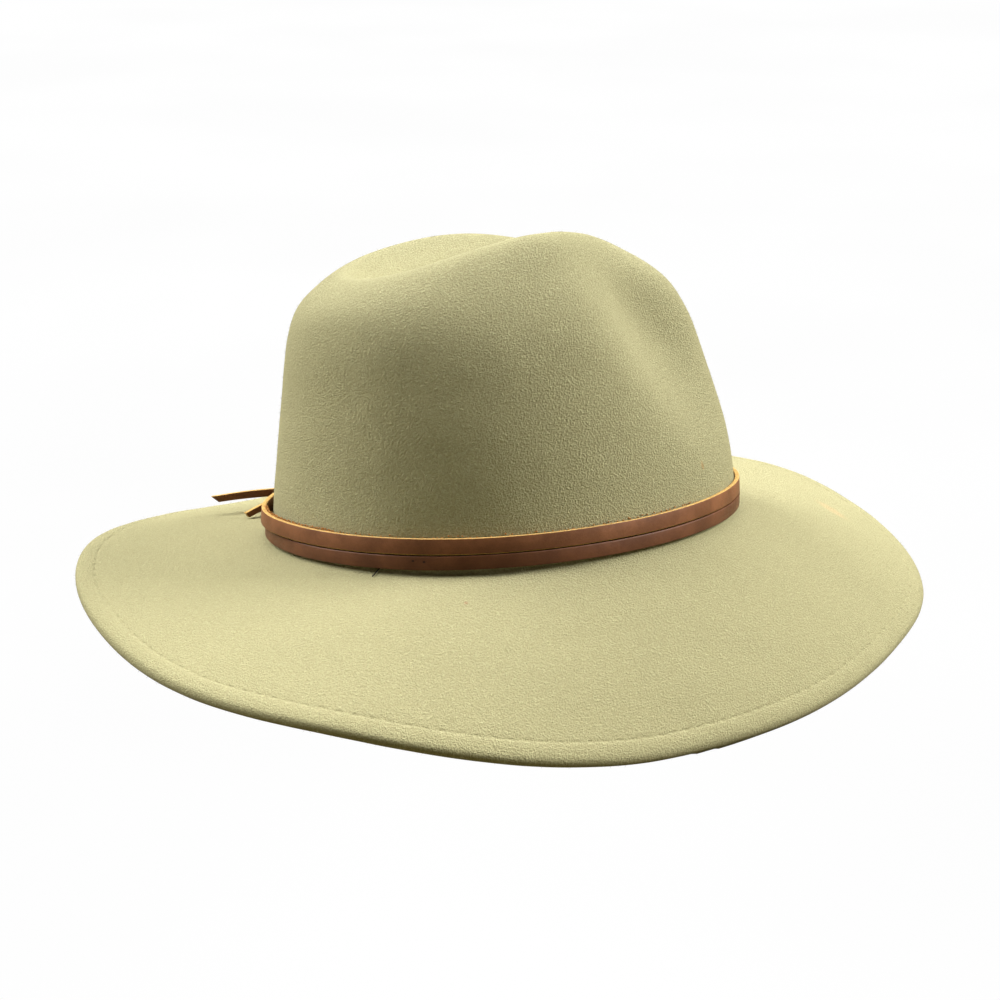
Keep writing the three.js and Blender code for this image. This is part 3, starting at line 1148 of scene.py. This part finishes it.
@dataclass
class FeltBody:
    """Crown and brim in one piece of felt, open below, with its hem and stitches. Sizes in mm.

    The rows over the hem stand at distances from the edge's middle, and close to the groove of the
    stitches at distances from it. The UV map counts stitches along and holds the place across.
    """

    form: HatForm
    around: int = 320
    last_ring: float = 9
    crown_step: float = 0.1
    foot_steps: int = 6
    brim_steps: int = 34
    hem_wide: float = 8.5
    stitch_from_edge: float = 6
    stitch_sunk: float = 0.1
    inner_rows: tuple[float, ...] = (12, 10.5, 9.3, 8.4)
    groove_rows: tuple[float, ...] = (1.6, 1.1, 0.8, 0.55, 0.3, 0, -0.3, -0.55, -0.8, -1.1, -1.6)
    outer_hem_rows: tuple[float, ...] = (3.6, 2.7, 1.8, 0.9, 0)
    inside_mark: float = 100
    under_mark: float = -50
    groove_deep: float = 0.1
    groove_wide: float = 0.9
    hem_swell: float = 0.3
    swell_middle: float = 2.9
    swell_half: float = 3
    ripple: float = 0.35
    ripple_size: float = 34
    fine_ripple_share: float = 0.45
    fine_ripple_size: float = 13
    edge_step_deg: int = 18
    uv_reach: float = 60
    uv_scale: float = 200
    stitches: StitchRow = StitchRow()
    nap: FibreNap = FibreNap()

    @property
    def hem_steps(self) -> list[float]:
        """Distances from the edge's middle, along the felt, of the rows over the hem."""
        near = [self.stitch_from_edge + d for d in self.groove_rows]
        return [*self.inner_rows, *near, *self.outer_hem_rows]

    def outer_rows(self) -> tuple[Array, Array]:
        """Rows of points over the outer side, from the crease out to the edge.

        Returns:
            The points, and each row's distance from the edge's middle, or the mark for the inside.
        """
        form, bearings = self.form, round_angles(self.around)
        sections = form.sections(bearings)
        foot_ring = form.foot_radius / form.foot_ring_rise
        rings = np.arange(self.last_ring, foot_ring + self.crown_step / 2, -self.crown_step)
        rows = [form.leaned(form.crown_point(bearings, ring)) for ring in (*rings, foot_ring)]
        shares = np.arange(1, self.foot_steps + 1) / self.foot_steps
        rows += [form.foot_point(bearings, sections, share) for share in shares]
        first = form.foot_radius / sections.wide
        per_mm = np.cos(sections.slope) / sections.wide
        last = 1 - self.hem_steps[0] * per_mm
        for step in range(1, self.brim_steps):
            rows.append(form.brim_point(sections, first + (last - first) * step / self.brim_steps))
        inside = [float(self.inside_mark)] * len(rows)
        rows += [form.brim_point(sections, 1 - away * per_mm) for away in self.hem_steps]
        return np.stack(rows), np.array(inside + self.hem_steps)

    def square_to(self, rows: Array) -> Array:
        """Directions square to a net of points.

        Args:
            rows: The points, from the crease out.

        Returns:
            A direction at each point, the crown's upward one at the crease.
        """
        before = np.concatenate([rows[:1], rows[:-1]])
        after = np.concatenate([rows[1:], rows[-1:]])
        round_about = np.roll(rows, -1, axis=1) - np.roll(rows, 1, axis=1)
        square = unit(np.cross(after - before, round_about))
        square[0] = self.form.lean @ UP
        return square

    def shaped(self, rows: Array, square: Array, away: Array) -> Array:
        """Adds the felt's slight unevenness, the hem's swelling and the groove of its stitches.

        Args:
            rows: Points of the even felt.
            square: Directions square to them.
            away: Each row's distance from the edge's middle.

        Returns:
            The shaped points.
        """
        broad = smooth_noise(rows, self.ripple_size, 3.7)
        fine = smooth_noise(rows, self.fine_ripple_size, 9.1)
        wave = self.ripple * (broad + self.fine_ripple_share * fine)
        groove = self.groove_deep * bell(away - self.stitch_from_edge, self.groove_wide)
        near = np.clip(1 - np.abs(away - self.swell_middle) / self.swell_half, 0, 1)
        swell = self.hem_swell * near**0.5
        return rows + square * (wave + (swell - groove)[:, None])[..., None]

    def mesh(self) -> tuple[Mesh, Array]:
        """Builds the felt's closed mesh.

        Returns:
            The mesh, and the path of its stitches in mm.
        """
        form = self.form
        rows, away = self.outer_rows()
        square = self.square_to(rows)
        rows = self.shaped(rows, square, away)
        sections = form.sections(round_angles(self.around))
        middle = sections.middle + rows[-1] - sections.end
        radius = form.hem_radius
        angles = np.radians(np.arange(90 - self.edge_step_deg, -91, -self.edge_step_deg))
        edge = [
            middle + sections.along * radius * math.cos(a) + sections.square * radius * math.sin(a)
            for a in angles
        ]
        under = [i for i in range(len(rows)) if 0 < away[i] <= self.hem_wide]
        hem = [rows[i] - square[i] * 2 * radius for i in reversed(under)]
        inner = [rows[i] - square[i] * form.felt_thick for i in range(under[0], -1, -1)]
        grid = np.stack([*rows, *edge, *hem, *inner])
        grid[..., 2] = np.where(grid[..., 2] < form.sole_press, 0, grid[..., 2])
        hidden = [self.under_mark] * (len(hem) + len(inner))
        place = np.array([*away, *(-radius * (math.pi / 2 - angles)), *hidden])
        off = np.clip(place - self.stitch_from_edge, -self.uv_reach, self.uv_reach)
        along = np.linspace(0, self.stitches.count, self.around + 1)
        uv = np.stack(np.broadcast_arrays(along[None, :], (0.5 + off / self.uv_scale)[:, None]), axis=-1)
        path = rows[list(away).index(self.stitch_from_edge)] - self.stitch_sunk * square[0, 0]
        return mesh_from_grid("felt", grid, uv=uv), path

    def build(self, felt: Material, thread: Material, fibre: Material) -> list[bpy.types.Object]:
        """Makes the felt, its stitches and its loose fibres.

        Args:
            felt: Material of the felt.
            thread: Material of the stitches.
            fibre: Material of the fibres.

        Returns:
            The three pieces.
        """
        mesh, path = self.mesh()
        return [
            finish_piece("felt_crown_and_brim", mesh, felt, ["felt_body"]),
            finish_piece("hem_stitches", self.stitches.build(path, thread)),
            finish_piece("felt_fibres", self.nap.build(mesh, fibre)),
        ]


@dataclass
class StrapTurn:
    """One turn of the strap round the foot of the crown. Sizes in mm."""

    form: HatForm
    name: str
    node: str
    bottom: float
    top: float
    bulge: float
    thick: float = 2
    gap: float = 0.5
    bulge_bearing: float = 170
    bulge_spread: float = 20
    corner: float = 0.4
    waver: float = 0.12
    waver_size: float = 26
    waver_out: float = 0.6
    cut_shown: float = 1
    around: int = 300

    def stand_off(self, bearing: Array) -> Array:
        """How far the turn stands off the felt at each bearing."""
        away = (bearing - math.radians(self.bulge_bearing) + math.pi) % TURN - math.pi
        return self.gap + self.bulge * bell(away, math.radians(self.bulge_spread))

    def line(self, bearing: Array, rise: float, out: float) -> Array:
        """A line round the turn in the crown's own frame.

        Args:
            bearing: Bearings in radians.
            rise: Height over the crown's foot.
            out: How far out from the turn's inner face.

        Returns:
            A point at each bearing.
        """
        wall = self.form.crown_point(bearing, rise / self.form.foot_ring_rise)
        point = wall + self.form.wall_outward(bearing) * (self.stand_off(bearing) + out)[..., None]
        point[..., 2] = rise
        return point

    def build(self, leather: Material) -> bpy.types.Object:
        """Makes the turn, replacing its plain solid.

        Args:
            leather: Its material.

        Returns:
            The piece.
        """
        bearing = round_angles(self.around)
        low, high = (self.line(bearing, rise, self.thick / 2) for rise in (self.bottom, self.top))
        up = unit(high - low)
        middles = (low + high) / 2
        outward = self.form.wall_outward(bearing)
        outward = unit(outward - up * (outward * up).sum(axis=-1, keepdims=True))
        waver = (self.waver * smooth_noise(middles, self.waver_size, (self.bottom + self.top) / 2))[:, None]
        middles = middles + up * waver + outward * (waver * self.waver_out)
        wide = np.full(self.around, self.top - self.bottom)
        sizes = (self.thick, wide, self.corner)
        mesh = closed_strip(self.name, self.form, middles, outward, up, *sizes, cut_shown=self.cut_shown)
        return finish_piece(self.name, mesh, leather, [self.node])


@dataclass
class StrapKnot:
    """The knot: two short wraps of the strap crossing over a small core. Sizes in mm."""

    form: HatForm
    turn: StrapTurn
    bearing: float = 130
    rise: float = 7.8
    half_deep: float = 3.6
    gap: float = 0.4
    strap_wide: float = 4.6
    strap_swing: float = 0.5
    thick: float = 1.7
    corner_share: float = 0.3
    loop_in: float = 0.7
    loop_out: float = 2.3
    loop_up: float = 4.6
    around: int = 40
    core_in: float = 0.6
    core: Triple = (4.6, 2.4, 4.4)
    tilts: tuple[float, float] = (-28, 30)
    shifts: tuple[float, float] = (-1.5, 1.7)

    def axes(self) -> tuple[Array, Array, Array]:
        """Places the knot on the strap.

        Returns:
            Its middle and its directions along the strap and outwards, in the crown's own frame.
        """
        bearing = np.array([math.radians(self.bearing)])
        outward = self.form.wall_outward(bearing)[0]
        off = float(self.turn.stand_off(bearing)[0]) + self.turn.thick + self.gap + self.half_deep
        middle = self.form.crown_point(bearing, 0.5)[0] + outward * off
        middle[2] = self.rise
        return middle, np.cross(UP, outward), outward

    def wrap(self, tilt: float, shift: float) -> Mesh:
        """Makes one wrap.

        Args:
            tilt: How far it leans over, in radians.
            shift: How far it stands to one side.

        Returns:
            The wrap's closed mesh.
        """
        middle, along, outward = self.axes()
        angles = round_angles(self.around)
        c, s = np.cos(angles)[:, None], np.sin(angles)[:, None]
        tall = UP * math.cos(tilt) + along * math.sin(tilt)
        side = along * math.cos(tilt) - UP * math.sin(tilt)
        centre = middle - outward * self.loop_in + along * shift
        loop = centre + outward * self.loop_out * c + tall * self.loop_up * s
        away = unit(outward * c / self.loop_out + tall * s / self.loop_up)
        wide = self.strap_wide + self.strap_swing * np.cos(2 * angles)
        sizes = (self.thick, wide, self.thick * self.corner_share)
        return closed_strip("wrap", self.form, loop, away, side, *sizes)

    def build(self, leather: Material) -> bpy.types.Object:
        """Makes the two wraps and the core as one piece, replacing the plain lump.

        Args:
            leather: Its material.

        Returns:
            The piece.
        """
        middle, along, outward = self.axes()
        core = bmesh.new()
        bmesh.ops.create_icosphere(core, subdivisions=3, radius=1)
        axes = zip((along, outward, UP), self.core)
        turn = Matrix((np.column_stack([self.form.lean @ axis * half for axis, half in axes]) * MM).tolist())
        turn = turn.to_4x4()
        turn.translation = Vector((self.form.leaned(middle - outward * self.core_in) * MM).tolist())
        core.transform(turn)
        bmesh.ops.recalc_face_normals(core, faces=core.faces)
        core.verts.layers.float.new("cut_edge")
        for tilt, shift in zip(np.radians(self.tilts), self.shifts):
            core.from_mesh(self.wrap(tilt, shift))
        for face in core.faces:
            face.smooth = True
        mesh = kept_mesh(core, "strap_knot_wraps")
        return finish_piece("strap_knot_wraps", mesh, leather, ["strap_knot"])


@dataclass
class StrapEnd:
    """A free end of the strap, from beside the knot to a tip that is cut aslant. Sizes in mm."""

    form: HatForm
    name: str
    node: str
    root: Triple
    tip: Triple
    root_wide: float
    tip_wide: float
    slant: float
    sag: float = 0.5
    thick: float = 2
    corner: float = 0.3
    steps: int = 14

    def build(self, leather: Material) -> bpy.types.Object:
        """Makes the end, replacing its plain solid.

        Args:
            leather: Its material.

        Returns:
            The piece.
        """
        share = np.linspace(0, 1, self.steps)
        start, finish = np.array(self.root), np.array(self.tip)
        sag = self.sag * np.sin(math.pi * share)
        middles = start + (finish - start) * share[:, None] + UP * sag[:, None]
        along = unit(finish - start)
        outward = unit(np.array([along[1], -along[0], 0]))
        wide = self.root_wide + (self.tip_wide - self.root_wide) * share
        cut = np.where(share == 1, self.slant / 2, 0) / (self.tip_wide / 2)
        upper = unit(np.cross(outward, along)) + along * cut[:, None]
        sizes = (self.thick, wide, self.corner)
        mesh = closed_strip(self.name, self.form, middles, outward, upper, *sizes, loop=False)
        return finish_piece(self.name, mesh, leather, [self.node])


@dataclass
class ThreadEnd:
    """A dark thread end that sticks out from under the strap. Sizes in mm."""

    points: tuple[Triple, ...] = (
        (-55.9, 82.9, 50.6),
        (-56.9, 84.4, 49.9),
        (-57.8, 86.0, 49.1),
        (-58.7, 87.2, 48.6),
        (-59.6, 88.5, 48.3),
    )
    radius: float = 0.24
    sides: int = 8
    steps: int = 17

    def build(self, material: Material) -> bpy.types.Object:
        """Makes the thread end as a thin closed tube.

        Args:
            material: Its material.

        Returns:
            The piece.
        """
        path = through(np.array(self.points), np.linspace(0, len(self.points) - 1, self.steps))
        along = unit(np.gradient(path, axis=0))
        side = unit(np.cross(along, UP))
        top = np.cross(side, along)
        angles = round_angles(self.sides)[:, None]
        ring = side[:, None] * np.cos(angles) + top[:, None] * np.sin(angles)
        caps = [np.repeat(path[i][None], self.sides, axis=0)[None] for i in (0, -1)]
        rows = np.concatenate([caps[0], path[:, None] + ring * self.radius, caps[1]])
        return finish_piece("thread_end", mesh_from_grid("thread_end", rows[:, ::-1]), material)


def towards(direction: Vector) -> Any:
    """Rotation that points a light or a camera in a direction, with its top up."""
    return direction.to_track_quat("-Z", "Y").to_euler()


@dataclass(frozen=True)
class SoftLight:
    """A broad, even light from far away: its direction round the hat and over the floor, in degrees."""

    name: str
    azimuth: float
    elevation: float
    breadth: float
    strength: float

    def build(self) -> None:
        """Makes the light, shining towards the hat."""
        data = bpy.data.lights.new(self.name, "SUN")
        data.energy = self.strength
        data.angle = math.radians(self.breadth)
        turn, rise = math.radians(self.azimuth), math.radians(self.elevation)
        flat = math.cos(rise)
        back = Vector((math.sin(turn) * flat, -math.cos(turn) * flat, math.sin(rise)))
        linked(self.name, data).rotation_euler = towards(-back)


@dataclass(frozen=True)
class Studio:
    """Pale floor, soft lights and the camera at the photograph's angle. Sizes in metres."""

    floor_bounce: Triple = (0.14, 0.12, 0.06)
    floor_dim: Triple = (0.985, 0.985, 0.985)
    floor_pale: Triple = (1.0, 1.0, 1.0)
    floor_radius: float = 6
    floor_sides: int = 96
    fill_tint: Triple = (1.0, 0.86, 0.55)
    fill: float = 0.01
    camera_place: Triple = (-0.7171, 0.3413, 0.3448)
    camera_target: Triple = (-0.0053, 0.0094, 0.0482)
    lens_mm: float = 71.88
    sensor_mm: float = 36
    lights: tuple[SoftLight, ...] = (
        SoftLight("overhead", azimuth=65, elevation=62, breadth=50, strength=3.2),
        SoftLight("left_side", azimuth=136, elevation=40, breadth=42, strength=5.6),
        SoftLight("right_side", azimuth=344, elevation=36, breadth=30, strength=5.6),
    )

    def floor(self) -> bpy.types.Object:
        """Makes the round floor, an even white to the camera and darker in what it throws back.

        Returns:
            The floor.
        """
        mesh = bmesh.new()
        bmesh.ops.create_circle(mesh, cap_ends=True, segments=self.floor_sides, radius=self.floor_radius)
        data = kept_mesh(mesh, "studio_floor")
        material, sketch, shader, place = new_material("studio_floor_paper")
        grain = sketch.span(sketch.noise(place, 3, 2, 0.5), 0.3, 0.7)
        seen = sketch.add("ShaderNodeLightPath").outputs["Is Camera Ray"]
        look = {
            "Base Color": sketch.mix(seen, self.floor_bounce, (0.0, 0.0, 0.0)),
            "Emission Color": sketch.mix(grain, self.floor_dim, self.floor_pale),
            "Emission Strength": seen,
            "Roughness": 1.0,
            "Specular IOR Level": 0.0,
        }
        sketch.feed(shader, look)
        data.materials.append(material)
        return linked("studio_floor", data)

    def camera(self) -> None:
        """Makes the camera and gives it to the scene."""
        data = bpy.data.cameras.new("picture_camera")
        data.lens, data.sensor_width = self.lens_mm, self.sensor_mm
        data.clip_start, data.clip_end = 0.05, 50
        camera = linked("picture_camera", data)
        camera.location = Vector(self.camera_place)
        camera.rotation_euler = towards(Vector(self.camera_target) - Vector(self.camera_place))
        bpy.context.scene.camera = camera

    def build(self) -> None:
        """Makes floor, lights, sky fill and camera."""
        self.floor()
        for light in self.lights:
            light.build()
        world = bpy.data.worlds.new("studio_air")
        world.use_nodes = True
        world.node_tree.nodes.clear()
        sketch = NodeSketch(world.node_tree)
        air = sketch.add("ShaderNodeBackground", {"Color": widened(self.fill_tint), "Strength": self.fill})
        sketch.add("ShaderNodeOutputWorld", {"Surface": air.outputs[0]})
        bpy.context.scene.world = world
        bpy.context.scene.view_settings.view_transform = "Standard"
        self.camera()


def report(*pieces: bpy.types.Object) -> None:
    """Reports finished pieces by name and number of faces.

    Args:
        pieces: The pieces.
    """
    for piece in pieces:
        LOG.info("%s: %d faces", piece.name, len(piece.data.polygons))


def main() -> None:
    """Builds the hat piece by piece and reports each, then builds the studio."""
    logging.basicConfig(level=logging.INFO, format="%(message)s")
    form = HatForm()
    groups = ShaderGroups(grain=grain_group(), spot=spot_group())
    felt = FeltFinish().build(groups)
    thread = ThreadFinish("hem_thread", dark=(0.4, 0.37, 0.19), light=(0.48, 0.45, 0.24)).build(groups)
    fibre = ThreadFinish("wool_fibre", dark=(0.42, 0.39, 0.22), light=(0.54, 0.51, 0.32)).build(groups)
    report(*FeltBody(form).build(felt, thread, fibre))

    leather = LeatherFinish().build(groups)
    # A darker copy of the strap leather for the lower turn: painted shade under the upper turn.
    shaded_leather = LeatherFinish(
        name="strap_leather_painted_shade",
        grain_dark=(0.085, 0.031, 0.012),
        grain_light=(0.165, 0.062, 0.026),
        cut_dark=(0.07, 0.028, 0.01),
        cut_light=(0.14, 0.06, 0.022),
    ).build(groups)
    dark = ThreadFinish("dark_thread", dark=(0.008, 0.007, 0.006), light=(0.03, 0.026, 0.022)).build(groups)
    crumb = ThreadFinish("leather_crumbs", dark=(0.3, 0.12, 0.035), light=(0.6, 0.31, 0.1)).build(groups)

    # The lower turn shows its cut edges at 0.35 only: painted shade at the seam under the upper turn.
    lower = StrapTurn(
        form, "strap_lower_turn_leather", "strap_lower_turn", bottom=1.7, top=7.1, bulge=0.6, cut_shown=0.35
    )
    upper = StrapTurn(form, "strap_upper_turn_leather", "strap_upper_turn", bottom=7.5, top=13.7, bulge=2.6)
    report(lower.build(shaded_leather))
    report(upper.build(leather))
    report(StrapKnot(form, upper).build(leather))
    long_end = StrapEnd(
        form,
        "strap_long_end_leather",
        "strap_end_long",
        root=(77.4, 73.4, 7.8),
        tip=(91.1, 100.8, 5.4),
        root_wide=3.6,
        tip_wide=3,
        slant=3.2,
    )
    short_end = StrapEnd(
        form,
        "strap_short_end_leather",
        "strap_end_short",
        root=(72.8, 75.9, 5.5),
        tip=(68.8, 93.7, 1.3),
        root_wide=3,
        tip_wide=2.6,
        slant=1.2,
    )
    report(long_end.build(leather))
    report(short_end.build(leather))
    for name, low, high, count in (("crumbs_back", 165, 203, 260), ("crumbs_side", 203, 300, 120)):
        bearing = np.radians(np.linspace(low, high, 60))
        edge = form.leaned(upper.line(bearing, upper.top + 0.1, -0.1))
        report(finish_piece(name, CrumbRow().build(name, edge, count, crumb)))
    report(ThreadEnd().build(dark))

    Studio().build()


if __name__ == "__main__":
    main()
